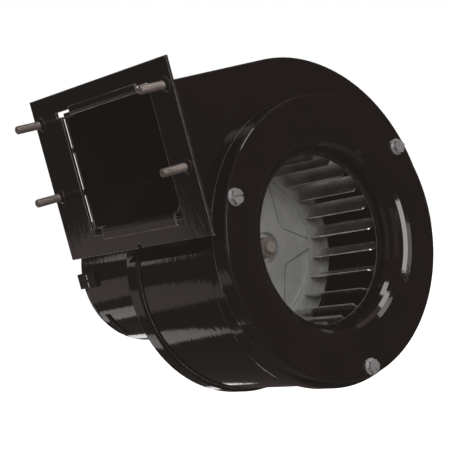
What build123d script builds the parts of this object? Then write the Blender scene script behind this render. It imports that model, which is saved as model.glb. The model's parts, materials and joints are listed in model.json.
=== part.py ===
from build123d import *
import math
import os

# Direct-drive centrifugal combustion blower.
# Origin: centre of the four-stud pattern on the outer face of the discharge flange.
# +X runs from the flange into the blower, +Z up along the flange, inlet on the -Y side.

os.makedirs("parts", exist_ok=True)

# Discharge flange and its weld studs
FLANGE_T = 1.5
FLANGE_EDGE_R = 0.4
FLANGE_HALF_WIDTH = 55.9
FLANGE_TOP = 30.7
FLANGE_BOTTOM = -50.6
OPENING_FRONT = -38.9
OPENING_REAR = 32.6
OPENING_TOP = 21.6
OPENING_BOTTOM = -40.7
STUD_Y = 50.8
STUD_Z = 18.5
STUD_D = 4.1
STUD_REACH = 14.6
STUD_FOOT_D = 5.0

# Scroll housing
AXIS_X = 80.1
AXIS_Z = -70.4
FRONT_Y = -39.7
REAR_Y = 35.3
SHEET = 1.0
HEM = 1.7
FRONT_HEM_DEPTH = 10.4
REAR_HEM_DEPTH = 8.7
DUCT_TOP = 20.6
DUCT_BOTTOM = -39.7
NECK_END = 2.6
REAR_NECK_END = 3.7
SCROLL_R_180 = 66.2
SCROLL_R_270 = 73.4
SCROLL_R_360 = 78.6
SCROLL_R_450 = 91.0
SPIRAL_END = 425.0
TAB_BEND = 1.4
WHEEL_OPENING_R = 56.0
MOTOR_OPENING_R = 17.0

# Inlet ring
RING_R = 70.0
RING_FACE_Y = -49.1
RING_BELL_R = 55.5
THROAT_R = 41.5
THROAT_Y = -36.4
RING_SHOULDER = 1.3
RING_SCREW_R = 65.4
RING_SCREW_ANGLES = (150.0, 30.0, -90.0)

# Squirrel-cage wheel
WHEEL_R = 48.4
BLADE_INNER_R = 40.5
BLADE_COUNT = 24
BLADE_PHASE = -6.0
BLADE_T = 0.6
BLADE_FRONT_Y = -33.6
DISC_Y = 10.9
DISC_CONE_R = 38.7
DISC_T = 1.0
HUB_POCKET_R = 8.1
HUB_FACE_Y = 2.1
SPOKE_COUNT = 5
POCKET_ANGLE = 26.0
POCKET_DEPTH = 1.0
POCKET_INNER_R = 16.4
POCKET_OUTER_R = 38.2
POCKET_FLARE = 52.0

# Shaft and bearings
SHAFT_R = 3.175
SHAFT_FRONT_Y = -2.0
SHAFT_REAR_Y = 108.0
BEARING_R = 7.0
BEARING_FIT = 0.03
BEARING_LENGTH = 9.0
FRONT_BEARING_Y = 42.0
REAR_BEARING_Y = 96.0

# Motor
SHELL_R = 41.5
SHELL_T = 1.0
SHELL_FRONT_Y = 37.3
SHELL_REAR_Y = 114.0
SHELL_CORNER = 6.5
STATOR_R = 38.4
STATOR_FRONT_Y = 60.0
STATOR_DEPTH = 25.0
ROTOR_R = 18.9
POLE_R = 19.3
POLE_WIDTH = 11.0
GROMMET_CIRCLE_R = 29.0
GROMMET_ANGLES = (90.0, 210.0, 330.0)
BOLT_CIRCLE_R = 35.4
BOLT_ANGLES = (45.0, 135.0, 225.0, 315.0)
VENT_SLOTS = ((205.0, 25.0), (265.0, 25.0), (325.0, 25.0), (25.0, 25.0), (85.0, 25.0))
SLOT_FRONT_Y = 98.0
SLOT_DEPTH = 5.4
TERMINAL_Y = 103.2
TERMINAL_Z = -67.4
TERMINAL_SPOTS = ((-65.2, 100.6), (-69.5, 100.6))


def upright(shape):
    """Turn a shape drawn as (x, z, -y) into the object's own axes."""
    return Rot(90, 0, 0) * shape


def slab(face, y_front, y_rear):
    """Sheet with the given outline between two depths along the fan axis."""
    return Pos(0, 0, -y_rear) * extrude(face, y_rear - y_front)


def polar(radius, angle):
    """Point on the fan axis circle at an angle from +X, anticlockwise from the inlet."""
    a = math.radians(angle)
    return (AXIS_X + radius * math.cos(a), AXIS_Z + radius * math.sin(a))


def disc(radius, y_front, y_rear):
    return Pos(AXIS_X, AXIS_Z, -y_rear) * extrude(Circle(radius), y_rear - y_front)


def tube(r_outer, r_inner, y_front, y_rear):
    return disc(r_outer, y_front, y_rear) - disc(r_inner, y_front - 1, y_rear + 1)


def pin(x, z, radius, y_front, y_rear):
    """Round bar parallel to the fan axis."""
    return Pos(x, z, -y_rear) * extrude(Circle(radius), y_rear - y_front)


def turned(points):
    """Body of revolution about the fan axis from (radius, y) points."""
    face = make_face(Polyline(*[(r, -y) for r, y in points], close=True))
    return Pos(AXIS_X, AXIS_Z, 0) * revolve(Plane.XZ * face, Axis.Z)


def scroll_radius(angle):
    """Outside radius of the hemmed seam, 180 degrees at the cutoff side to 450 at the top."""
    u = (angle - 180.0) / 90.0
    return (
        -SCROLL_R_180 * (u - 1) * (u - 2) * (u - 3) / 6
        + SCROLL_R_270 * u * (u - 2) * (u - 3) / 2
        - SCROLL_R_360 * u * (u - 1) * (u - 3) / 2
        + SCROLL_R_450 * u * (u - 1) * (u - 2) / 6
    )


def cutoff_angle(inset):
    """Angle where the spiral meets the floor of the discharge neck."""
    low, high = 130.0, 180.0
    for _ in range(40):
        mid = (low + high) / 2
        if polar(scroll_radius(mid) - inset, mid)[1] > DUCT_BOTTOM + inset:
            low = mid
        else:
            high = mid
    return low


def scroll_face(inset, end_x):
    """Spiral and neck outline, pulled in by inset and cut off at end_x."""
    start = cutoff_angle(inset)
    step = (SPIRAL_END - start) / 18
    points = [polar(scroll_radius(start + step * i) - inset, start + step * i) for i in range(19)]
    spiral = Spline(*points)
    top = DUCT_TOP - inset
    dx, dz = (spiral % 1).X, (spiral % 1).Y
    knee = (points[-1][0] + dx * (top - points[-1][1]) / dz, top)
    roof_start = (2 * knee[0] - points[-1][0] - 2.0, top)
    roof = Bezier(points[-1], knee, roof_start)
    neck = Polyline(roof_start, (end_x, top), (end_x, DUCT_BOTTOM + inset), points[0])
    face = make_face([spiral, roof, neck])
    corner = face.vertices().sort_by_distance((points[0][0], points[0][1], 0))[0]
    return fillet(corner, 3.0 + inset)


def neck_tab(z_in, direction, lip_z, y_front, y_rear):
    """End of the wrap sheet bent outward over the outer face of the flange."""
    z_out = z_in + direction * SHEET
    centre_z = z_out + direction * TAB_BEND
    turn = -direction * 90
    inner = CenterArc((TAB_BEND, centre_z), TAB_BEND, turn, turn)
    outer = CenterArc((TAB_BEND, centre_z), TAB_BEND + SHEET, turn, turn)
    edges = [
        outer,
        inner,
        Polyline((TAB_BEND, z_in), (NECK_END, z_in), (NECK_END, z_out), (TAB_BEND, z_out)),
        Polyline((-SHEET, centre_z), (-SHEET, lip_z), (0, lip_z), (0, centre_z)),
    ]
    return slab(make_face(edges), y_front, y_rear)


def make_scroll_wrap():
    """Single strip that makes the neck floor, the cutoff, the spiral and the neck roof."""
    ring = scroll_face(HEM, NECK_END) - scroll_face(HEM + SHEET, NECK_END - 20)
    wrap = slab(ring, FRONT_Y + SHEET, REAR_Y - SHEET)
    wrap += neck_tab(DUCT_TOP - HEM - SHEET, 1, 23.0, -31.0, 23.4)
    wrap += neck_tab(DUCT_BOTTOM + HEM + SHEET, -1, -43.3, -34.0, 23.0)
    return wrap


def make_side_sheet(y_face, depth, front):
    """Flat side with its edge turned over the wrap and hemmed double."""
    end_x = NECK_END if front else REAR_NECK_END
    y_hem = y_face + depth if front else y_face - depth
    y_inner = y_face + SHEET if front else y_face - SHEET
    side = slab(scroll_face(0, end_x), min(y_face, y_hem), max(y_face, y_hem))
    for y, radius in ((y_face, 0.95), (y_hem, 0.8)):
        side = fillet(outline_edges(side, y, end_x), radius)
    inner = scroll_face(HEM, end_x - 20)
    side -= slab(inner, min(y_inner, y_hem), max(y_inner, y_hem))
    for z in (2.0, -19.0):
        side += Pos((FLANGE_T + end_x + 1) / 2, z, -(y_face + y_inner) / 2) * Box(
            end_x - FLANGE_T + 1, 3.0, SHEET
        )
    return side


def outline_edges(side, y, end_x):
    """Edges of the outline at one depth, without the open neck end."""
    return [
        e
        for e in side.edges()
        if abs(e.center().Z + y) < 0.01 and abs(e.center().X - end_x) > 0.05
        and e.bounding_box().size.Z < 0.01
    ]


def make_front_side_sheet():
    side = make_side_sheet(FRONT_Y, FRONT_HEM_DEPTH, True)
    side -= disc(WHEEL_OPENING_R, FRONT_Y - 1, FRONT_Y + SHEET + 1)
    return side + corner_gusset([(-38.7, -32.0), (-38.7, -33.1), (-34.9, -37.0), (-33.8, -37.0)])


def corner_gusset(points):
    """Folded corner that closes the foot of the neck."""
    outline = [(z, -y) for y, z in points]
    face = Plane.YZ.offset(1.6) * make_face(Polyline(*outline, close=True))
    return extrude(face, 5.0, dir=(1, 0, 0))


def make_rear_side_sheet():
    side = make_side_sheet(REAR_Y, REAR_HEM_DEPTH, False)
    side -= disc(MOTOR_OPENING_R, REAR_Y - 3, REAR_Y + 1)
    for angle in GROMMET_ANGLES:
        x, z = polar(GROMMET_CIRCLE_R, angle)
        side -= pin(x, z, 4.6, REAR_Y - 3, REAR_Y + 1)
    return side


def make_inlet_ring():
    """Pressed ring: rounded shoulder with skirt, flat face and bell mouth."""
    depth = THROAT_Y - RING_FACE_Y
    reach = RING_BELL_R - THROAT_R
    steps = [math.radians(a) for a in range(0, 91, 10)]
    bell = [
        (RING_BELL_R - reach * math.sin(a), THROAT_Y - depth * math.cos(a)) for a in steps
    ]
    back = [
        (
            RING_BELL_R - (reach - SHEET) * math.sin(a),
            THROAT_Y - (depth - SHEET) * math.cos(a),
        )
        for a in reversed(steps)
    ]
    centre_r = RING_R - RING_SHOULDER
    centre_y = RING_FACE_Y + RING_SHOULDER
    turns = [math.radians(a) for a in range(0, 91, 15)]
    shoulder = [
        (centre_r + RING_SHOULDER * math.cos(a), centre_y - RING_SHOULDER * math.sin(a))
        for a in turns
    ]
    inside = [
        (
            centre_r + (RING_SHOULDER - SHEET) * math.cos(a),
            centre_y - (RING_SHOULDER - SHEET) * math.sin(a),
        )
        for a in reversed(turns)
    ]
    points = [(RING_R, FRONT_Y)] + shoulder + bell
    points += [(THROAT_R, THROAT_Y + 1.0), (THROAT_R + SHEET, THROAT_Y + 1.0)]
    points += back + inside + [(RING_R - SHEET, FRONT_Y)]
    ring = turned(points)
    for angle in RING_SCREW_ANGLES:
        x, z = polar(RING_SCREW_R, angle)
        ring -= pin(x, z, 2.2, RING_FACE_Y - 1, RING_FACE_Y + 3)
    return ring


def make_ring_posts():
    """Tapped spacers welded to the front side, one behind each ring screw."""
    posts = []
    for angle in RING_SCREW_ANGLES:
        x, z = polar(RING_SCREW_R, angle)
        post = pin(x, z, 3.2, RING_FACE_Y + SHEET, FRONT_Y)
        post = chamfer(post.faces().sort_by(Axis.Z)[-1].edges(), 0.9)
        posts.append(post - pin(x, z, 1.9, RING_FACE_Y, FRONT_Y - 0.8))
    return posts


def make_ring_screws():
    """Slotted hex-washer-head machine screws."""
    screws = []
    for angle in RING_SCREW_ANGLES:
        x, z = polar(RING_SCREW_R, angle)
        washer = pin(x, z, 4.2, RING_FACE_Y - 0.8, RING_FACE_Y)
        hexagon = Pos(x, z, -RING_FACE_Y + 0.8) * extrude(RegularPolygon(3.6, 6), 2.2)
        slot = Pos(x, z, -RING_FACE_Y + 3.0) * Rot(0, 0, angle + 25) * Box(9, 1.1, 2.4)
        shank = pin(x, z, 1.9, RING_FACE_Y, FRONT_Y - 0.8)
        screws.append(washer + hexagon - slot + shank)
    return screws


def make_discharge_flange():
    """Flat plate with the discharge opening, its corner relief and a foot notch."""
    height = FLANGE_TOP - FLANGE_BOTTOM
    plate = Pos(FLANGE_T / 2, 0, (FLANGE_TOP + FLANGE_BOTTOM) / 2) * Box(
        FLANGE_T, 2 * FLANGE_HALF_WIDTH, height
    )
    span_y = OPENING_REAR - OPENING_FRONT
    span_z = OPENING_TOP - OPENING_BOTTOM
    plate -= Pos(
        FLANGE_T / 2, (OPENING_REAR + OPENING_FRONT) / 2, (OPENING_TOP + OPENING_BOTTOM) / 2
    ) * Box(4 * FLANGE_T, span_y, span_z)
    plate -= Pos(FLANGE_T / 2, OPENING_REAR, OPENING_TOP - 1.3) * Box(4 * FLANGE_T, 7.2, 2.6)
    rim = [
        e
        for e in plate.edges().filter_by(GeomType.LINE)
        if abs(abs(e.center().Y) - FLANGE_HALF_WIDTH) < 0.01
        or abs(e.center().Z - FLANGE_TOP) < 0.01
        or abs(e.center().Z - FLANGE_BOTTOM) < 0.01
    ]
    rim = [e for e in rim if e.length > 2 * FLANGE_T]
    plate = fillet(rim, FLANGE_EDGE_R)
    plate -= Pos(FLANGE_T / 2, -1.3, FLANGE_BOTTOM) * Rot(0, 90, 0) * Cylinder(2.5, 8)
    for y in (-STUD_Y, STUD_Y):
        for z in (-STUD_Z, STUD_Z):
            plate -= Pos(FLANGE_T / 2, y, z) * Rot(0, 90, 0) * Cylinder(STUD_FOOT_D / 2, 8)
    return plate


def make_discharge_studs():
    """Studs with a wider foot pressed into the flange and welded at the back."""
    studs = []
    for y in (-STUD_Y, STUD_Y):
        for z in (-STUD_Z, STUD_Z):
            bar = Cylinder(STUD_D / 2, STUD_REACH, align=(Align.CENTER, Align.CENTER, Align.MIN))
            bar = chamfer(bar.faces().sort_by(Axis.Z)[0].edges(), 0.4)
            foot = Cylinder(STUD_FOOT_D / 2, FLANGE_T, align=(Align.CENTER, Align.CENTER, Align.MIN))
            bar += Pos(0, 0, STUD_REACH) * foot
            studs.append(Pos(-STUD_REACH, y, z) * Rot(0, 90, 0) * bar)
    return studs


def blade_section(phase):
    """Thin forward-curved blade: radial at the eye, leaning ahead at the rim."""
    r0 = BLADE_INNER_R
    r2 = WHEEL_R - 0.7
    r1 = (r0 + r2) / 2
    lead = (0.0, 1.3, 6.2)
    half = math.degrees(BLADE_T / 2 / r1)
    ahead = [polar(r, phase + l + half) for r, l in zip((r0, r1, r2), lead)]
    behind = [polar(r, phase + l - half) for r, l in zip((r0, r1, r2), lead)]
    edges = [
        ThreePointArc(*ahead),
        Line(ahead[2], behind[2]),
        ThreePointArc(*reversed(behind)),
        Line(behind[0], ahead[0]),
    ]
    return make_face(edges)


def make_wheel_blades():
    """Blades between the back disc and the front ring, eye corners cut back."""
    cut = turned(
        [
            (BLADE_INNER_R - 3, BLADE_FRONT_Y - 1),
            (BLADE_INNER_R + 5.0, BLADE_FRONT_Y - 1),
            (BLADE_INNER_R + 5.0, BLADE_FRONT_Y),
            (BLADE_INNER_R, BLADE_FRONT_Y + 2.2),
            (BLADE_INNER_R - 3, BLADE_FRONT_Y + 2.2),
        ]
    )
    blades = []
    for i in range(BLADE_COUNT):
        phase = BLADE_PHASE + 360.0 * i / BLADE_COUNT
        blades.append(slab(blade_section(phase), BLADE_FRONT_Y, DISC_Y) - cut)
    return blades


def make_wheel_front_ring():
    """Rolled channel that holds the front tips of the blades."""
    y0 = BLADE_FRONT_Y
    shell = tube(WHEEL_R + 0.5, WHEEL_R - 0.3, y0 - 0.7, y0 + 4.0)
    lip = tube(WHEEL_R + 0.5, WHEEL_R - 3.0, y0 - 0.7, y0)
    return shell + lip


def pocket_face(angle):
    """Outline of one shallow pocket: a rounded inner corner opening out to the cone edge."""
    flare = math.radians(POCKET_FLARE)
    run = (
        math.sqrt(POCKET_OUTER_R**2 - (POCKET_INNER_R * math.sin(flare)) ** 2)
        - POCKET_INNER_R * math.cos(flare)
    )
    along = POCKET_INNER_R + run * math.cos(flare)
    half = math.degrees(math.atan2(run * math.sin(flare), along))
    corner = polar(POCKET_INNER_R, angle)
    left = polar(POCKET_OUTER_R, angle + half)
    right = polar(POCKET_OUTER_R, angle - half)
    rim = ThreePointArc(left, polar(POCKET_OUTER_R, angle), right)
    face = make_face([Line(corner, left), rim, Line(right, corner)])
    near = face.vertices().sort_by_distance((corner[0], corner[1], 0))
    face = fillet(near[0], 6.0)
    outer = [v for v in face.vertices() if math.hypot(v.X - AXIS_X, v.Y - AXIS_Z) > 37.0]
    return fillet(outer, 2.0)


def disc_face_y(radius):
    """Depth of the dished face at a radius."""
    slope = (DISC_Y - HUB_FACE_Y) / (DISC_CONE_R - HUB_POCKET_R)
    return HUB_FACE_Y + slope * (radius - HUB_POCKET_R)


def cone_band(near, far):
    """Section between two offsets from the dished face, radius 12 to 39."""
    return [
        (12.0, disc_face_y(12.0) + near),
        (39.0, disc_face_y(39.0) + near),
        (39.0, disc_face_y(39.0) + far),
        (12.0, disc_face_y(12.0) + far),
    ]


def make_wheel_back_disc():
    """Dished disc with a hub well, five embossed spokes and a flat blade seat."""
    slope = (DISC_Y - HUB_FACE_Y) / (DISC_CONE_R - HUB_POCKET_R)
    well = HUB_FACE_Y + 3.4
    body = turned(
        [
            (SHAFT_R + 2.3, well),
            (HUB_POCKET_R - 0.8, well),
            (HUB_POCKET_R, HUB_FACE_Y),
            (DISC_CONE_R, DISC_Y),
            (WHEEL_R - 0.3, DISC_Y),
            (WHEEL_R - 0.3, DISC_Y + DISC_T),
            (DISC_CONE_R - 0.5, DISC_Y + DISC_T),
            (HUB_POCKET_R + 1.0, HUB_FACE_Y + DISC_T + slope * 0.5),
            (HUB_POCKET_R + 0.4, well + DISC_T),
            (SHAFT_R + 2.3, well + DISC_T),
        ]
    )
    back = turned(cone_band(0.3, POCKET_DEPTH + DISC_T))
    hollow = turned(cone_band(-0.6, POCKET_DEPTH))
    for i in range(SPOKE_COUNT):
        face = pocket_face(POCKET_ANGLE + 360.0 * i / SPOKE_COUNT)
        body += slab(face, HUB_FACE_Y - 4, DISC_Y + 6) & back
        body -= slab(offset(face, -0.9), HUB_FACE_Y - 5, DISC_Y + 7) & hollow
    return body


def make_wheel_rear_ring():
    """Rolled band that closes the blade roots around the back disc."""
    return tube(WHEEL_R + 0.5, WHEEL_R - 0.3, DISC_Y - 4.0, DISC_Y + DISC_T + 0.6)


def make_wheel_hub():
    """Turned hub riveted to the disc, bored for the shaft and tapped for a set screw."""
    well = HUB_FACE_Y + 3.4
    hub = disc(SHAFT_R + 2.3, 0.4, well + DISC_T)
    hub += disc(HUB_POCKET_R, well + DISC_T, well + DISC_T + 9.0)
    hub -= disc(SHAFT_R, -1, 30)
    z = AXIS_Z + HUB_POCKET_R / 2 + 1.6
    hub -= Pos(AXIS_X, z, -(well + DISC_T + 4.5)) * Rot(90, 0, 0) * Cylinder(2.0, 9.0)
    return hub


def make_hub_set_screw():
    y = HUB_FACE_Y + 3.4 + DISC_T + 4.5
    length = HUB_POCKET_R - SHAFT_R
    z = AXIS_Z + SHAFT_R + length / 2
    screw = Pos(AXIS_X, z, -y) * Rot(90, 0, 0) * Cylinder(2.0, length)
    socket = Pos(AXIS_X, AXIS_Z + HUB_POCKET_R, -y) * Rot(90, 0, 0) * extrude(
        RegularPolygon(1.0, 6), 2.0, both=True
    )
    return screw - socket


def make_shaft():
    shaft = disc(SHAFT_R, SHAFT_FRONT_Y, SHAFT_REAR_Y)
    ends = shaft.edges().filter_by(GeomType.CIRCLE)
    return chamfer(ends, 0.5)


def make_bearing(y_front):
    """Self-aligning sintered sleeve: a barrel with a running bore."""
    half = BEARING_LENGTH / 2
    mid = y_front + half
    bore = SHAFT_R + BEARING_FIT
    points = [
        (bore, y_front),
        (5.2, y_front),
        (6.6, y_front + 2.2),
        (BEARING_R, mid),
        (6.6, y_front + BEARING_LENGTH - 2.2),
        (5.2, y_front + BEARING_LENGTH),
        (bore, y_front + BEARING_LENGTH),
    ]
    return turned(points)


def make_oil_felt(y_front):
    """Felt ring packed around the bearing to hold oil."""
    return tube(10.6, BEARING_R, y_front + 1.8, y_front + BEARING_LENGTH - 1.8)


def make_front_bracket():
    """Motor end plate with the front bearing cup and three mounting holes."""
    y0 = SHELL_FRONT_Y
    plate = disc(SHELL_R - SHELL_T, y0, y0 + 2.0) - disc(11.6, y0 - 1, y0 + 3)
    cup = tube(11.6, 10.6, y0, FRONT_BEARING_Y + BEARING_LENGTH - 1.0)
    floor = tube(10.6, 5.6, FRONT_BEARING_Y - 2.4, FRONT_BEARING_Y - 1.4)
    bracket = plate + cup + floor
    for angle in GROMMET_ANGLES:
        x, z = polar(GROMMET_CIRCLE_R, angle)
        bracket -= pin(x, z, 2.1, y0 - 1, y0 + 3)
    for angle in BOLT_ANGLES:
        x, z = polar(BOLT_CIRCLE_R, angle)
        bracket -= pin(x, z, 1.75, y0 - 1, y0 + 3)
    return bracket


def make_bearing_retainer(y, direction):
    """Spring washer with fingers that keeps the bearing seated in its cup."""
    y_front = y if direction > 0 else y - 0.6
    ring = tube(10.6, 6.1, y_front, y_front + 0.6)
    for i in range(6):
        x, z = polar(8.4, 60 * i)
        ring -= pin(x, z, 1.2, y_front - 1, y_front + 2)
    return ring


def make_motor_shell():
    """Drawn can with a rounded closed end, cooling slots and the rear bearing cup."""
    r, t, c = SHELL_R, SHELL_T, SHELL_CORNER
    y0, y1 = SHELL_FRONT_Y, SHELL_REAR_Y
    arc = [math.radians(a) for a in range(0, 91, 10)]
    outside = [(r - c + c * math.cos(a), y1 - c + c * math.sin(a)) for a in arc]
    inside = [
        (r - c + (c - t) * math.cos(a), y1 - c + (c - t) * math.sin(a)) for a in reversed(arc)
    ]
    points = [(r, y0)] + outside + [(0, y1), (0, y1 - t)] + inside + [(r - t, y0)]
    shell = turned(points)
    shell += tube(11.6, 10.6, REAR_BEARING_Y + 1.0, y1 - t)
    for start, span in VENT_SLOTS:
        shell -= vent_cutter(start, span)
    return shell


def vent_cutter(start, span):
    """Curved slot through the can wall, round ended."""
    r = SHELL_R
    steps = 8
    y_mid = SLOT_FRONT_Y + SLOT_DEPTH / 2
    outer = [polar(r + 3, start + span * i / steps) for i in range(steps + 1)]
    inner = [polar(r - 6, start + span * i / steps) for i in reversed(range(steps + 1))]
    face = make_face(Polyline(*outer, *inner, close=True))
    return slab(face, y_mid - SLOT_DEPTH / 2, y_mid + SLOT_DEPTH / 2)


def make_grommets():
    """Rubber isolators gripping the rear side sheet."""
    grommets = []
    for angle in GROMMET_ANGLES:
        x, z = polar(GROMMET_CIRCLE_R, angle)
        body = pin(x, z, 4.6, REAR_Y - SHEET, REAR_Y)
        body += pin(x, z, 7.0, REAR_Y, SHELL_FRONT_Y)
        body += pin(x, z, 7.0, REAR_Y - SHEET - 2.0, REAR_Y - SHEET)
        grommets.append(body - pin(x, z, 2.1, REAR_Y - 6, SHELL_FRONT_Y + 1))
    return grommets


def make_mount_screws():
    """Pan-head screws through the grommets with a wide washer face."""
    screws = []
    y0 = REAR_Y - SHEET - 2.0
    for angle in GROMMET_ANGLES:
        x, z = polar(GROMMET_CIRCLE_R, angle)
        body = pin(x, z, 5.6, y0 - 0.8, y0)
        body += pin(x, z, 3.8, y0 - 3.2, y0 - 0.8)
        slot = Pos(x, z, -(y0 - 3.2)) * Box(9, 1.0, 2.0)
        body -= slot
        body += pin(x, z, 2.1, y0, SHELL_FRONT_Y + 6.0)
        screws.append(body)
    return screws


def make_mount_nuts():
    nuts = []
    y0 = SHELL_FRONT_Y + 2.0
    for angle in GROMMET_ANGLES:
        x, z = polar(GROMMET_CIRCLE_R, angle)
        nut = Pos(x, z, -(y0 + 3.2)) * extrude(RegularPolygon(4.6, 6), 3.2)
        nuts.append(nut - pin(x, z, 2.1, y0 - 1, y0 + 5))
    return nuts


def make_stator_core():
    """Laminated ring with four salient poles."""
    y0 = STATOR_FRONT_Y
    y1 = y0 + STATOR_DEPTH
    core = tube(STATOR_R, 31.5, y0, y1)
    for i in range(4):
        arm = Pos(26.5, 0, 0) * Rectangle(12.0, POLE_WIDTH)
        shoe = Pos(20.9, 0, 0) * Rectangle(5.2, 21.0)
        limb = Rot(0, 0, 90 * i) * (arm + shoe)
        core += Pos(AXIS_X, AXIS_Z, -y1) * extrude(limb, STATOR_DEPTH)
    core -= disc(POLE_R, y0 - 1, y1 + 1)
    for angle in BOLT_ANGLES:
        x, z = polar(BOLT_CIRCLE_R, angle)
        core -= pin(x, z, 1.75, y0 - 1, y1 + 1)
    return core


def make_stator_bolts():
    """Long bolts that clamp the core to the front bracket, head behind the core."""
    bolts = []
    y_head = STATOR_FRONT_Y + STATOR_DEPTH
    for angle in BOLT_ANGLES:
        x, z = polar(BOLT_CIRCLE_R, angle)
        shank = pin(x, z, 1.75, SHELL_FRONT_Y, y_head)
        head = Pos(x, z, -(y_head + 2.6)) * extrude(RegularPolygon(2.9, 6), 2.6)
        bolts.append(shank + head)
    return bolts


def make_core_spacers():
    """Tubes that hold the core off the front bracket."""
    spacers = []
    for angle in BOLT_ANGLES:
        x, z = polar(BOLT_CIRCLE_R, angle)
        body = pin(x, z, 3.0, SHELL_FRONT_Y + 2.0, STATOR_FRONT_Y)
        spacers.append(body - pin(x, z, 1.75, SHELL_FRONT_Y, STATOR_FRONT_Y + 1))
    return spacers


def pole_ring(r_in, r_out, margin_in, margin_out, index):
    """Rectangular ring around one pole arm between two radii."""
    mid = (r_in + r_out) / 2
    width = r_out - r_in
    y_mid = STATOR_FRONT_Y + STATOR_DEPTH / 2
    outer = Box(width, POLE_WIDTH + 2 * margin_out, STATOR_DEPTH + 2 * margin_out)
    inner = Box(width + 2, POLE_WIDTH + 2 * margin_in, STATOR_DEPTH + 2 * margin_in)
    ring = Pos(mid, 0, 0) * (outer - inner)
    return Pos(AXIS_X, AXIS_Z, -y_mid) * Rot(0, 0, 90 * index) * ring


def make_coil_bobbins():
    """Moulded spools around the poles: a thin tube with two cheeks."""
    spools = []
    for i in range(4):
        body = pole_ring(23.7, 29.2, 0.0, 0.8, i)
        body += pole_ring(23.7, 24.5, 0.0, 4.6, i)
        body += pole_ring(28.4, 29.2, 0.0, 4.6, i)
        spools.append(body)
    return spools


def make_coil_windings():
    return [pole_ring(24.5, 28.4, 0.8, 4.2, i) for i in range(4)]


def make_shading_rings():
    """Copper loops let into one tip of each pole shoe, bent over both ends."""
    loops = []
    y_mid = STATOR_FRONT_Y + STATOR_DEPTH / 2
    for i in range(4):
        body = Pos(21.8, 11.4, 0) * Box(1.6, 1.6, STATOR_DEPTH + 3.0)
        for side in (1, -1):
            end_y = side * (STATOR_DEPTH / 2 + 0.75)
            body += Pos(21.8, 8.9, end_y) * Box(1.6, 6.6, 1.5)
        loops.append(Pos(AXIS_X, AXIS_Z, -y_mid) * Rot(0, 0, 90 * i) * body)
    return loops


def make_rotor_core():
    """Stacked laminations pressed on the shaft, skewed bars cast in as dark lines."""
    core = tube(ROTOR_R, SHAFT_R, STATOR_FRONT_Y, STATOR_FRONT_Y + STATOR_DEPTH)
    for i in range(17):
        x, z = polar(ROTOR_R - 1.9, 360.0 * i / 17)
        core -= pin(x, z, 1.2, STATOR_FRONT_Y - 1, STATOR_FRONT_Y + STATOR_DEPTH + 1)
    return core


def make_rotor_bars():
    bars = []
    for i in range(17):
        x, z = polar(ROTOR_R - 1.9, 360.0 * i / 17)
        bars.append(pin(x, z, 1.2, STATOR_FRONT_Y, STATOR_FRONT_Y + STATOR_DEPTH))
    return bars


def make_rotor_end_rings():
    rear = STATOR_FRONT_Y + STATOR_DEPTH
    return [
        tube(ROTOR_R - 0.4, 13.0, STATOR_FRONT_Y - 3.0, STATOR_FRONT_Y),
        tube(ROTOR_R - 0.4, 13.0, rear, rear + 3.0),
    ]


def make_thrust_washers():
    """Nylon washers between the rotor spacers and the bearings."""
    front = FRONT_BEARING_Y + BEARING_LENGTH
    return [
        tube(5.4, SHAFT_R, front + 0.3, front + 1.1),
        tube(5.4, SHAFT_R, REAR_BEARING_Y - 1.1, REAR_BEARING_Y - 0.3),
    ]


def make_shaft_spacers():
    """Collars pressed on the shaft either side of the rotor."""
    front = FRONT_BEARING_Y + BEARING_LENGTH + 1.1
    rear = REAR_BEARING_Y - 1.1
    core_rear = STATOR_FRONT_Y + STATOR_DEPTH
    return [
        tube(4.8, SHAFT_R, front, STATOR_FRONT_Y),
        tube(4.8, SHAFT_R, core_rear, rear),
    ]


def make_cooling_fan():
    """Small stamped fan behind the front bracket that draws air through the can."""
    y0 = 53.4
    fan = tube(13.5, 4.8, y0, y0 + 0.8)
    for i in range(8):
        x, z = polar(17.0, 45 * i)
        blade = Pos(x, z, -(y0 + 0.4)) * Rot(0, 0, 45 * i) * Rot(28, 0, 0) * Box(9.0, 7.0, 0.8)
        fan += blade
    return fan


def make_terminal_block():
    """Moulded plate on the side of the can that carries the two line terminals."""
    block = Pos(AXIS_X - SHELL_R - 0.1, TERMINAL_Z, -TERMINAL_Y) * Box(3.0, 8.2, 15.4)
    block -= disc(SHELL_R, 80, 125)
    for z, y in TERMINAL_SPOTS:
        block -= Pos(AXIS_X - SHELL_R - 0.4, z, -y) * Box(12.0, 2.6, 0.8)
    return block


def make_terminals():
    """Tinned blade terminals standing out of the plate."""
    blades = []
    for z, y in TERMINAL_SPOTS:
        blade = Pos(AXIS_X - SHELL_R - 1.4, z, -y) * Box(3.0, 2.6, 0.8)
        blades.append(blade - disc(SHELL_R, 80, 125))
    return blades


def export(name, shapes):
    """Write one node, a single solid or a group of separate solids."""
    if isinstance(shapes, list):
        node = Compound(children=[upright(s) for s in shapes])
    else:
        node = upright(shapes)
    export_step(node, f"parts/{name}.step")


def export_plain(name, shapes):
    """Write a node that is already drawn in the object's own axes."""
    node = Compound(children=shapes) if isinstance(shapes, list) else shapes
    export_step(node, f"parts/{name}.step")


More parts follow.
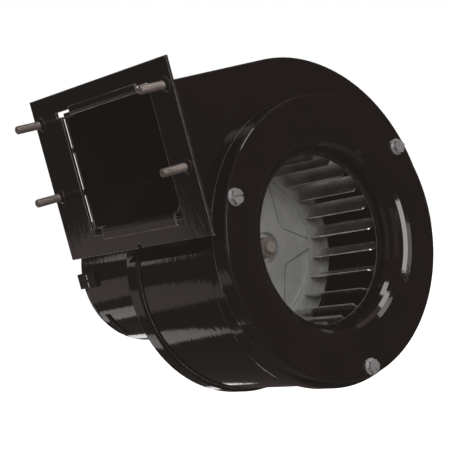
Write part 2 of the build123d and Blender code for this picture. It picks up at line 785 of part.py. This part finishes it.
export("scroll_wrap", make_scroll_wrap())
export("front_side_sheet", make_front_side_sheet())
export("rear_side_sheet", make_rear_side_sheet())
export("inlet_ring", make_inlet_ring())
export("ring_standoffs", make_ring_posts())
export("inlet_ring_screws", make_ring_screws())
export_plain("discharge_flange", make_discharge_flange())
export_plain("discharge_studs", make_discharge_studs())
export("wheel_blades", make_wheel_blades())
export("wheel_front_ring", make_wheel_front_ring())
export("wheel_rear_ring", make_wheel_rear_ring())
export("wheel_back_disc", make_wheel_back_disc())
export("wheel_hub", make_wheel_hub())
export("hub_set_screw", make_hub_set_screw())
export("motor_shaft", make_shaft())
export("front_bearing", make_bearing(FRONT_BEARING_Y))
export("rear_bearing", make_bearing(REAR_BEARING_Y))
export("front_oil_felt", make_oil_felt(FRONT_BEARING_Y))
export("rear_oil_felt", make_oil_felt(REAR_BEARING_Y))
export("front_bearing_retainer", make_bearing_retainer(FRONT_BEARING_Y + BEARING_LENGTH - 1.0, 1))
export("rear_bearing_retainer", make_bearing_retainer(REAR_BEARING_Y + 1.0, -1))
export("motor_front_bracket", make_front_bracket())
export("motor_shell", make_motor_shell())
export("motor_mount_grommets", make_grommets())
export("motor_mount_screws", make_mount_screws())
export("motor_mount_nuts", make_mount_nuts())
export("stator_core", make_stator_core())
export("stator_bolts", make_stator_bolts())
export("stator_spacers", make_core_spacers())
export("coil_bobbins", make_coil_bobbins())
export("coil_windings", make_coil_windings())
export("shading_rings", make_shading_rings())
export("rotor_core", make_rotor_core())
export("rotor_bars", make_rotor_bars())
export("rotor_end_rings", make_rotor_end_rings())
export("thrust_washers", make_thrust_washers())
export("shaft_spacers", make_shaft_spacers())
export("motor_cooling_fan", make_cooling_fan())
export("terminal_block", make_terminal_block())
export("line_terminals", make_terminals())
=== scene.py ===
import json
import math

import bmesh
import bpy
from mathutils import Matrix, Quaternion, Vector


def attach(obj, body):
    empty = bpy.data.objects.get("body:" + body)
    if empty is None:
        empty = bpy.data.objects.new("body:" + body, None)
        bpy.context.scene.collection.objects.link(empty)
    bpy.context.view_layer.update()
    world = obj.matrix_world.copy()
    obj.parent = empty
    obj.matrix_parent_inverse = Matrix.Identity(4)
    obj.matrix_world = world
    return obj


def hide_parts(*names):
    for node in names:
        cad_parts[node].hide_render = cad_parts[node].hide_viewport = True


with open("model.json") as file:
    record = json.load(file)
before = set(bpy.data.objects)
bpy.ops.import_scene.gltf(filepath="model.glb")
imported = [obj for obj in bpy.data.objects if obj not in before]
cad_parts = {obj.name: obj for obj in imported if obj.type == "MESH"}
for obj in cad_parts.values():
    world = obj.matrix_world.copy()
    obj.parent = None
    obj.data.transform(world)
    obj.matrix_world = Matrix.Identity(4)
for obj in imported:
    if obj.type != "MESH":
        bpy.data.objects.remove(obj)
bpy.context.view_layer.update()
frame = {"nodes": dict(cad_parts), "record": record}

# Fan axis, along Y
AXIS_X = 0.0801
AXIS_Z = -0.0704

# Weld studs of the discharge flange, which stand out along -X
STUD_Y = 0.0508
STUD_Z = 0.0185
STUD_RADIUS = 0.00205
STUD_LENGTH = 0.0146
STUD_ROOT = 0.0006
STUD_CHAMFER = 0.0005
STUD_TIP_INSET = 0.00055
STUD_SEGMENTS = 28
THREAD_PITCH = 0.00079
THREAD_DEPTH = 0.00034
THREAD_SLOPE = 2.6
THREAD_STEPS = 8
STUD_SPOTS = [(y, z) for y in (-STUD_Y, STUD_Y) for z in (-STUD_Z, STUD_Z)]

# Enamel round the foot of each stud: distance out and reach as a multiple of the stud radius
COLLAR_PROFILE = (
    (-0.0004, 1.75),
    (0.0001, 1.72),
    (0.0003, 1.55),
    (0.0006, 1.32),
    (0.0010, 1.12),
    (0.0014, 1.0),
)
COLLAR_SEGMENTS = 36
COLLAR_RIPPLE = 0.07
COLLAR_FINE_RIPPLE = 0.05
COLLAR_SKIN = 0.01

# Conical back disc of the wheel and its pressed pockets
HUB_POCKET_R = 0.0081
DISC_HUB_Y = 0.0021
DISC_RIM_Y = 0.0109
DISC_CONE_R = 0.0387
DISC_SLOPE = (DISC_RIM_Y - DISC_HUB_Y) / (DISC_CONE_R - HUB_POCKET_R)
POCKET_COUNT = 5
POCKET_ANGLE = 26
POCKET_FLARE = math.radians(52)
POCKET_INNER_R = 0.0164
POCKET_OUTER_R = 0.0382
POCKET_ROUNDING = 0.0045
LEG_STEPS = 12
CORNER_STEPS = 8
LINE_HALF_WIDTH = 0.00028
LINE_HEIGHT = 0.0001
LINE_SINK = 0.00002
LINE_SECTION = ((-1.0, 0.0), (-0.5, 0.8), (0.5, 0.8), (1.0, 0.0))

# Broken edge of the screw heads
SCREW_EDGE = 0.00022
SCREW_EDGE_SEGMENTS = 2
SCREW_EDGE_ANGLE = math.radians(35)

# Thickness of the coat's waves, and the reach of the sharp edges painted light grey, partly as thin
# coat and partly as painted highlight
PEEL_HEIGHT = 0.00001
RUN_HEIGHT = 0.00016
WEAR_AND_GLINT_RADIUS = 0.0008

# Stage
SENSOR_WIDTH = 36.0
LENS = 107.07
CAMERA_PLACE = (-0.372676, -0.505246, -0.0084)
CAMERA_RIGHT = Vector((0.72614, -0.63781, -0.25676))
CAMERA_UP = Vector((0.23802, -0.11716, 0.96417))
LIGHT_DISTANCE = 1.6
LAMP_COLOUR = (1.0, 0.97, 0.96)
CARD_COLOUR = (1.0, 0.86, 0.83)
FILL_STRENGTH = 0.055
FLOOR_SIZE = 6.0
FLOOR_Z = -0.9
BLACK_LEVEL = (-0.0112, -0.0092, -0.0085)


def rgb(r, g, b):
    return (r, g, b, 1.0)


WHITE = rgb(1, 1, 1)
FILL_COLOUR = rgb(1.0, 0.82, 0.76)


# ---------------------------------------------------------------- materials
class Nodes:
    """Small helper that adds shader nodes to one material."""

    def __init__(self, name):
        self.material = bpy.data.materials.new(name)
        self.material.use_nodes = True
        self.tree = self.material.node_tree
        self.tree.nodes.clear()
        self.output = self.add("ShaderNodeOutputMaterial")
        self.shader = self.add("ShaderNodeBsdfPrincipled")
        self.link(self.shader.outputs[0], self.output.inputs["Surface"])
        self.coords = self.add("ShaderNodeTexCoord").outputs["Object"]

    def add(self, kind, **values):
        node = self.tree.nodes.new(kind)
        for key, value in values.items():
            setattr(node, key, value)
        return node

    def link(self, a, b):
        self.tree.links.new(a, b)

    def set(self, **values):
        for key, value in values.items():
            self.shader.inputs[key.replace("_", " ")].default_value = value

    def feed(self, socket, value):
        """Constant or link into one input."""
        if isinstance(value, (int, float, tuple)):
            socket.default_value = value
        else:
            self.link(value, socket)

    def stretched(self, scale):
        node = self.add("ShaderNodeMapping")
        node.inputs["Scale"].default_value = scale
        self.link(self.coords, node.inputs["Vector"])
        return node.outputs[0]

    def noise(self, scale, detail=3.0, rough=0.5, coords=None):
        node = self.add("ShaderNodeTexNoise")
        node.inputs["Scale"].default_value = scale
        node.inputs["Detail"].default_value = detail
        node.inputs["Roughness"].default_value = rough
        self.link(coords or self.coords, node.inputs["Vector"])
        return node.outputs["Fac"]

    def cells(self, scale):
        """Distance to the nearest of many scattered points."""
        node = self.add("ShaderNodeTexVoronoi")
        node.inputs["Scale"].default_value = scale
        self.link(self.coords, node.inputs["Vector"])
        return node.outputs["Distance"]

    def ramp(self, value, low, high):
        """Colour that runs from one (position, colour) stop to another."""
        node = self.add("ShaderNodeValToRGB")
        for element, (position, colour) in zip(node.color_ramp.elements, (low, high)):
            element.position = position
            element.color = colour
        self.link(value, node.inputs[0])
        return node.outputs[0]

    def span(self, value, low, high, out_low, out_high):
        node = self.add("ShaderNodeMapRange")
        node.inputs["From Min"].default_value = low
        node.inputs["From Max"].default_value = high
        node.inputs["To Min"].default_value = out_low
        node.inputs["To Max"].default_value = out_high
        self.link(value, node.inputs["Value"])
        return node.outputs[0]

    def math(self, operation, a, b):
        node = self.add("ShaderNodeMath", operation=operation)
        self.feed(node.inputs[0], a)
        self.feed(node.inputs[1], b)
        return node.outputs[0]

    def blend(self, a, b, share):
        """Weighted sum of two values, with the given share of the first."""
        return self.math("ADD", self.math("MULTIPLY", a, share), self.math("MULTIPLY", b, 1.0 - share))

    def mix(self, factor, a, b):
        node = self.add("ShaderNodeMix", data_type="RGBA")
        for key, value in (("Factor", factor), ("A", a), ("B", b)):
            socket = [s for s in node.inputs if s.name == key and s.enabled][0]
            self.feed(socket, value)
        return [s for s in node.outputs if s.enabled][0]

    def bump(self, height, distance, normal=None):
        node = self.add("ShaderNodeBump")
        node.inputs["Strength"].default_value = 1.0
        node.inputs["Distance"].default_value = distance
        self.link(height, node.inputs["Height"])
        if normal:
            self.link(normal, node.inputs["Normal"])
        return node.outputs[0]

    def wear_and_glint_mask(self, radius):
        """1 along sharp edges, where the coat is thin and a painted highlight is laid, and 0 on open
        faces.
        """
        rounded = self.add("ShaderNodeBevel", samples=6)
        rounded.inputs["Radius"].default_value = radius
        sharp = self.add("ShaderNodeNewGeometry").outputs["Normal"]
        turn = self.add("ShaderNodeVectorMath", operation="DOT_PRODUCT")
        self.link(rounded.outputs[0], turn.inputs[0])
        self.link(sharp, turn.inputs[1])
        sharp_edge_share = self.span(turn.outputs["Value"], 0.975, 0.90, 0.0, 1.0)
        patch = self.span(self.noise(70.0, 2.0), 0.35, 0.6, 0.25, 1.0)
        return self.math("MULTIPLY", sharp_edge_share, patch)

    def finish(self, colour, roughness, normal=None):
        self.link(colour, self.shader.inputs["Base Color"])
        self.link(roughness, self.shader.inputs["Roughness"])
        if normal:
            self.link(normal, self.shader.inputs["Normal"])
        return self.material


def enamel(name, peel, run):
    """Dipped black enamel: hard gloss, streaky orange peel, slow waves, dust specks, and sharp edges
    painted light grey, partly as thin coat and partly as painted highlight.
    """
    m = Nodes(name)
    m.set(IOR=1.5, Specular_IOR_Level=0.5)
    deep = rgb(0.0035, 0.0021, 0.0014)
    thin = rgb(0.006, 0.0036, 0.0025)
    tone = m.ramp(m.noise(38.0, 4.0), (0.3, deep), (0.7, thin))
    speck = m.span(m.cells(420.0), 0.0, 0.055, 1.0, 0.0)
    keep = m.span(m.noise(55.0, 1.0), 0.60, 0.66, 0.0, 1.0)
    tone = m.mix(m.math("MULTIPLY", speck, keep), tone, rgb(0.06, 0.055, 0.05))
    # Light grey along sharp edges: partly thin, rubbed coat and partly a painted highlight standing in
    # for the edge glints
    tone = m.mix(m.wear_and_glint_mask(WEAR_AND_GLINT_RADIUS), tone, rgb(0.60, 0.57, 0.55))
    rough = m.span(m.noise(160.0, 4.0), 0.3, 0.7, 0.05, 0.085)
    streak = (1.0, 1.0, 0.5)
    fine = m.bump(m.noise(1100.0, 1.0, 0.4, m.stretched(streak)), peel)
    wave = m.bump(m.noise(380.0, 1.5, 0.5, m.stretched(streak)), peel * 3.2, fine)
    slow = m.bump(m.noise(30.0, 0.0), run, wave)
    return m.finish(tone, rough, slow)


def steel(name, dark, light, low, high, grain=(1.0, 1.0, 1.0), metallic=1.0, bump=0.00002):
    """Bare or plated metal with a worked grain and stains."""
    m = Nodes(name)
    m.set(Metallic=metallic)
    lines = m.noise(900.0, 3.0, 0.6, m.stretched(grain))
    stain = m.noise(90.0, 4.0, 0.6)
    tone = m.ramp(m.blend(stain, lines, 0.7), (0.35, rgb(*dark)), (0.65, rgb(*light)))
    rough = m.span(m.blend(stain, lines, 0.5), 0.3, 0.7, low, high)
    return m.finish(tone, rough, m.bump(lines, bump))


def soft(name, dark, light, rough, scale, bump, sheen=0.0):
    """Moulded plastic, rubber or felt with a fine surface texture."""
    m = Nodes(name)
    m.set(Sheen_Weight=sheen)
    grain = m.noise(scale, 4.0, 0.6)
    tone = m.ramp(m.noise(scale / 8, 3.0), (0.3, rgb(*dark)), (0.7, rgb(*light)))
    return m.finish(tone, m.span(grain, 0.3, 0.7, rough - 0.08, rough + 0.08), m.bump(grain, bump))


ACROSS_DISC = (6.0, 6.0, 1.0)
ALONG_BLADE = (1.0, 0.15, 1.0)
STACKED_SHEETS = (1.0, 12.0, 1.0)
WOUND_WIRE = (1.0, 20.0, 1.0)

black = enamel("black_enamel", PEEL_HEIGHT, RUN_HEIGHT)
zinc = steel("zinc_plate", (0.72, 0.74, 0.76), (0.95, 0.96, 0.98), 0.14, 0.26, metallic=0.75)
stud_steel = steel("stud_steel", (0.34, 0.29, 0.27), (0.62, 0.56, 0.53), 0.24, 0.42, metallic=0.7)
wheel_steel = steel(
    "wheel_steel", (0.52, 0.54, 0.53), (0.68, 0.70, 0.69), 0.30, 0.42, ACROSS_DISC, metallic=0.45
)
blade_steel = steel(
    "blade_steel", (0.50, 0.50, 0.48), (0.72, 0.71, 0.69), 0.2, 0.3, ALONG_BLADE, 0.86, 0.000004
)
hub_steel = steel("hub_steel", (0.22, 0.19, 0.17), (0.42, 0.37, 0.34), 0.24, 0.38, metallic=0.5)
# Painted shade: dark, dull colour for the lines at the foot of the wheel's pockets
painted_crease_shade = steel("press_line_painted_crease_shade", (0.05, 0.05, 0.05), (0.10, 0.10, 0.095), 0.5, 0.7, metallic=0.0)
shaft_steel = steel("shaft_steel", (0.50, 0.43, 0.39), (0.80, 0.72, 0.66), 0.16, 0.28, metallic=0.6)
iron = steel("lamination_iron", (0.10, 0.10, 0.10), (0.20, 0.20, 0.20), 0.4, 0.6, STACKED_SHEETS)
cast = steel("cast_aluminium", (0.50, 0.50, 0.50), (0.72, 0.72, 0.72), 0.35, 0.55)
copper = steel("copper_wire", (0.42, 0.16, 0.07), (0.72, 0.34, 0.18), 0.25, 0.4, WOUND_WIRE)
bronze = steel("sintered_bronze", (0.35, 0.22, 0.10), (0.55, 0.38, 0.19), 0.35, 0.55)
tin = steel("tinned_brass", (0.75, 0.73, 0.68), (0.92, 0.91, 0.88), 0.12, 0.25)
nylon = soft("moulded_nylon", (0.012, 0.011, 0.011), (0.02, 0.019, 0.018), 0.42, 900.0, 0.00002)
felt = soft("oil_felt", (0.30, 0.26, 0.20), (0.45, 0.40, 0.32), 0.9, 1500.0, 0.00025, 0.3)
rubber = soft("grommet_rubber", (0.012, 0.012, 0.012), (0.022, 0.022, 0.022), 0.6, 1200.0, 0.00003)

SLOT_MATERIAL = {
    "black_enamel": black,
    "zinc_steel": zinc,
    "stud_steel": stud_steel,
    "wheel_steel": wheel_steel,
    "lamination_steel": iron,
    "cast_aluminium": cast,
    "copper": copper,
    "moulded_nylon": nylon,
    "tinned_brass": tin,
    "bronze": bronze,
    "oil_felt": felt,
    "grommet_rubber": rubber,
}
OWN_MATERIAL = {
    "wheel_blades": blade_steel,
    "wheel_hub": hub_steel,
    "motor_shaft": shaft_steel,
}
for entry in frame["record"]["subparts"]:
    name = entry["node"]
    materials = frame["nodes"][name].data.materials
    materials.clear()
    materials.append(OWN_MATERIAL.get(name, SLOT_MATERIAL[entry["material_slot"]]))


# ---------------------------------------------------------------- pieces
def new_piece(name, bm, material, body):
    """Smooth-shaded object from a finished mesh, carried by one body."""
    mesh = bpy.data.meshes.new(name)
    bmesh.ops.recalc_face_normals(bm, faces=bm.faces)
    for face in bm.faces:
        face.smooth = True
    bm.to_mesh(mesh)
    bm.free()
    mesh.materials.append(material)
    piece = bpy.data.objects.new(name, mesh)
    bpy.context.scene.collection.objects.link(piece)
    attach(piece, body)
    return piece


def close_skin(bm, rows):
    """Closed skin over rows of points that each run once round the piece."""
    count = len(rows[0])
    for low, high in zip(rows, rows[1:]):
        for j in range(count):
            k = (j + 1) % count
            bm.faces.new((low[j], low[k], high[k], high[j]))
    bm.faces.new(rows[0])
    bm.faces.new(reversed(rows[-1]))


def lathe(bm, y, z, rings, segments):
    """Skin about one stud's axis through rings of (distance out, radius function of the turn)."""
    rows = []
    for along, radius in rings:
        row = []
        for j in range(segments):
            turn = 2 * math.pi * j / segments
            reach = radius(turn)
            spot = Vector((-along, y + reach * math.cos(turn), z + reach * math.sin(turn)))
            row.append(bm.verts.new(spot))
        rows.append(row)
    close_skin(bm, rows)


def even(radius):
    """The same radius all the way round."""
    return lambda turn: radius


def thread(step, limit):
    """Radius of the thread at one step along the stud, cut off at the tip's chamfer."""
    def radius(turn):
        phase = (step / THREAD_STEPS - turn / (2 * math.pi)) % 1.0
        depth = THREAD_DEPTH * max(0.0, 1.0 - abs(phase - 0.5) * THREAD_SLOPE)
        return min(limit, STUD_RADIUS - depth)
    return radius


def ripple(reach, number):
    """Radius of an enamel collar, a little uneven and different at each stud."""
    def radius(turn):
        wave = COLLAR_RIPPLE * math.sin(3 * turn + number)
        wave += COLLAR_FINE_RIPPLE * math.sin(7 * turn + 2 * number)
        return STUD_RADIUS * (reach + (reach - 1.0) * wave * 2 + COLLAR_SKIN)
    return radius


def make_studs():
    """Four weld studs with a rolled thread and a chamfered tip."""
    bm = bmesh.new()
    count = int(STUD_LENGTH / THREAD_PITCH * THREAD_STEPS)
    for y, z in STUD_SPOTS:
        rings = [(-STUD_ROOT, even(STUD_RADIUS))]
        for i in range(count + 1):
            along = i * THREAD_PITCH / THREAD_STEPS
            limit = STUD_RADIUS - max(0.0, STUD_CHAMFER - (STUD_LENGTH - along))
            rings.append((along, thread(i, limit)))
        rings.append((STUD_LENGTH, even(STUD_RADIUS - STUD_TIP_INSET)))
        lathe(bm, y, z, rings, STUD_SEGMENTS)
    studs = new_piece("threaded_studs", bm, stud_steel, "housing")
    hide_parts("discharge_studs")


def make_stud_collars():
    """Enamel that gathered round the foot of each weld stud."""
    bm = bmesh.new()
    for number, (y, z) in enumerate(STUD_SPOTS):
        rings = [(along, ripple(reach, number)) for along, reach in COLLAR_PROFILE]
        lathe(bm, y, z, rings, COLLAR_SEGMENTS)
    new_piece("stud_collars", bm, black, "housing")


def pocket_outline():
    """Two straight legs joined by a rounded corner that points at the hub."""
    flat = math.sqrt(POCKET_OUTER_R ** 2 - (POCKET_INNER_R * math.sin(POCKET_FLARE)) ** 2)
    run = flat - POCKET_INNER_R * math.cos(POCKET_FLARE)
    tip = Vector((POCKET_INNER_R, 0))
    leg = Vector((math.cos(POCKET_FLARE), math.sin(POCKET_FLARE)))
    other = Vector((math.cos(-POCKET_FLARE), math.sin(-POCKET_FLARE)))
    straight = run - POCKET_ROUNDING
    path = [tip + leg * (run - straight * k / LEG_STEPS) for k in range(LEG_STEPS + 1)]
    for k in range(1, CORNER_STEPS):
        t = k / CORNER_STEPS
        path.append(tip + leg * POCKET_ROUNDING * (1 - t) ** 2 + other * POCKET_ROUNDING * t ** 2)
    path += [tip + other * (POCKET_ROUNDING + straight * k / LEG_STEPS) for k in range(LEG_STEPS + 1)]
    return path


def on_disc(spot, middle, rise):
    """Point on the disc's cone, from a flat point beside the pocket's middle line."""
    radius = spot.length
    angle = middle + math.atan2(spot.y, spot.x)
    x = AXIS_X + radius * math.cos(angle)
    z = AXIS_Z + radius * math.sin(angle)
    y = DISC_HUB_Y + DISC_SLOPE * (radius - HUB_POCKET_R) - rise * LINE_HEIGHT + LINE_SINK
    return (x, y, z)


def make_press_line_shade():
    """Painted shade: a dark line at the foot of each pressed pocket of the wheel disc, where the
    pocket wall falls in shade.
    """
    bm = bmesh.new()
    path = pocket_outline()
    for i in range(POCKET_COUNT):
        middle = math.radians(POCKET_ANGLE + 360 // POCKET_COUNT * i)
        rows = []
        for k, spot in enumerate(path):
            before = path[max(0, k - 1)]
            after = path[min(len(path) - 1, k + 1)]
            along = (after - before).normalized()
            across = Vector((-along.y, along.x))
            row = []
            for offset, rise in LINE_SECTION:
                edge = spot + across * offset * LINE_HALF_WIDTH
                row.append(bm.verts.new(on_disc(edge, middle, rise)))
            rows.append(row)
        close_skin(bm, rows)
    new_piece("wheel_press_line_shade", bm, painted_crease_shade, "rotor")


def break_screw_edges():
    """Small broken edge on the screw heads."""
    bevel = frame["nodes"]["inlet_ring_screws"].modifiers.new("broken_edge", "BEVEL")
    bevel.width = SCREW_EDGE
    bevel.segments = SCREW_EDGE_SEGMENTS
    bevel.limit_method = "ANGLE"
    bevel.angle_limit = SCREW_EDGE_ANGLE
    bevel.harden_normals = False


make_studs()
make_stud_collars()
make_press_line_shade()
break_screw_edges()


# ---------------------------------------------------------------- stage
def make_camera():
    data = bpy.data.cameras.new("camera")
    data.sensor_width = SENSOR_WIDTH
    data.lens = LENS
    data.clip_start = 0.01
    data.clip_end = 30.0
    camera = bpy.data.objects.new("camera", data)
    bpy.context.scene.collection.objects.link(camera)
    back = CAMERA_RIGHT.cross(CAMERA_UP)
    basis = Matrix((CAMERA_RIGHT, CAMERA_UP, back)).transposed()
    camera.matrix_world = Matrix.Translation(CAMERA_PLACE) @ basis.to_4x4()
    bpy.context.scene.camera = camera


def soft_box(name, azimuth, elevation, width, height, radiance, roll=0.0):
    """Rectangular light seen from the fan in one direction; all angles in degrees."""
    azimuth = math.radians(azimuth)
    elevation = math.radians(elevation)
    flat = math.cos(elevation)
    away = Vector((flat * math.cos(azimuth), flat * math.sin(azimuth), math.sin(elevation)))
    data = bpy.data.lights.new(name, "AREA")
    data.shape = "RECTANGLE"
    data.size = 2 * LIGHT_DISTANCE * math.tan(math.radians(width) / 2)
    data.size_y = 2 * LIGHT_DISTANCE * math.tan(math.radians(height) / 2)
    data.energy = radiance * math.pi * data.size * data.size_y
    data.color = CARD_COLOUR if radiance < 1 else LAMP_COLOUR
    lamp = bpy.data.objects.new(name, data)
    lamp.visible_camera = False
    bpy.context.scene.collection.objects.link(lamp)
    turn = away.to_track_quat("Z", "Y") @ Quaternion((0, 0, 1), math.radians(roll))
    lamp.location = Vector((AXIS_X, 0.0, AXIS_Z)) + away * LIGHT_DISTANCE
    lamp.rotation_euler = turn.to_euler()
    return lamp


def make_world():
    """White backdrop for the camera and a dim warm fill for everything else."""
    world = bpy.data.worlds.new("studio")
    world.use_nodes = True
    tree = world.node_tree
    tree.nodes.clear()
    output = tree.nodes.new("ShaderNodeOutputWorld")
    seen = tree.nodes.new("ShaderNodeBackground")
    seen.inputs["Color"].default_value = WHITE
    seen.inputs["Strength"].default_value = 1.0
    fill = tree.nodes.new("ShaderNodeBackground")
    fill.inputs["Color"].default_value = FILL_COLOUR
    fill.inputs["Strength"].default_value = FILL_STRENGTH
    path = tree.nodes.new("ShaderNodeLightPath")
    mix = tree.nodes.new("ShaderNodeMixShader")
    tree.links.new(path.outputs["Is Camera Ray"], mix.inputs[0])
    tree.links.new(fill.outputs[0], mix.inputs[1])
    tree.links.new(seen.outputs[0], mix.inputs[2])
    tree.links.new(mix.outputs[0], output.inputs["Surface"])
    bpy.context.scene.world = world


def make_floor():
    """Plain pale floor, bright enough to run into the backdrop."""
    mesh = bpy.data.meshes.new("floor")
    bm = bmesh.new()
    bmesh.ops.create_grid(bm, x_segments=2, y_segments=2, size=FLOOR_SIZE)
    bm.to_mesh(mesh)
    bm.free()
    floor = bpy.data.objects.new("floor", mesh)
    floor.location.z = FLOOR_Z
    bpy.context.scene.collection.objects.link(floor)
    m = Nodes("pale_floor")
    tone = m.ramp(m.noise(3.0), (0.3, rgb(0.88, 0.88, 0.88)), (0.7, rgb(0.92, 0.92, 0.92)))
    m.set(Emission_Color=WHITE, Emission_Strength=1.3)
    mesh.materials.append(m.finish(tone, m.span(m.noise(8.0), 0.3, 0.7, 0.85, 0.95)))
    floor.visible_glossy = False
    floor.visible_diffuse = False


def set_blacks():
    """Lift the darkest tones slightly."""
    view = bpy.context.scene.view_settings
    view.view_transform = "Standard"
    view.use_curve_mapping = True
    view.curve_mapping.black_level = BLACK_LEVEL
    view.curve_mapping.update()


make_camera()
make_world()
make_floor()
soft_box("front_strip", -85, 3, 9, 25, 7.3, -22)
soft_box("front_spill", -69, 1, 8, 9, 1.8)
soft_box("left_card", -109, 2, 8, 20, 0.42)
soft_box("left_dim_card", -127, 8, 18, 40, 0.18)
soft_box("far_left_card", -166, 12, 9, 60, 0.16)
soft_box("edge_strip", -156, 18, 2.5, 20, 1.6)
soft_box("top_box", -93, 59, 34, 13, 6.0, -36)
soft_box("top_small_box", -68, 37, 16, 4, 3.0)
soft_box("top_right_card", -44, 48, 30, 16, 0.42)
soft_box("rear_card", 118, -12.5, 34, 12, 0.38, 30)
soft_box("rear_side_card", 92, -13, 16, 12, 0.16)
soft_box("rear_high_card", 124, 16, 6, 5, 1.0)
soft_box("rear_low_strip", 107, -29.5, 24, 6, 1.15)
soft_box("rear_floor_strip", 66, -27, 10, 8, 1.8)
soft_box("low_strip", -88, -45, 16, 5, 0.6)
soft_box("low_card", -60, -54, 50, 14, 0.16)
wheel_light = soft_box("wheel_light", -112, 22, 26, 26, 4.6)
wheel_light.visible_glossy = False
set_blacks()
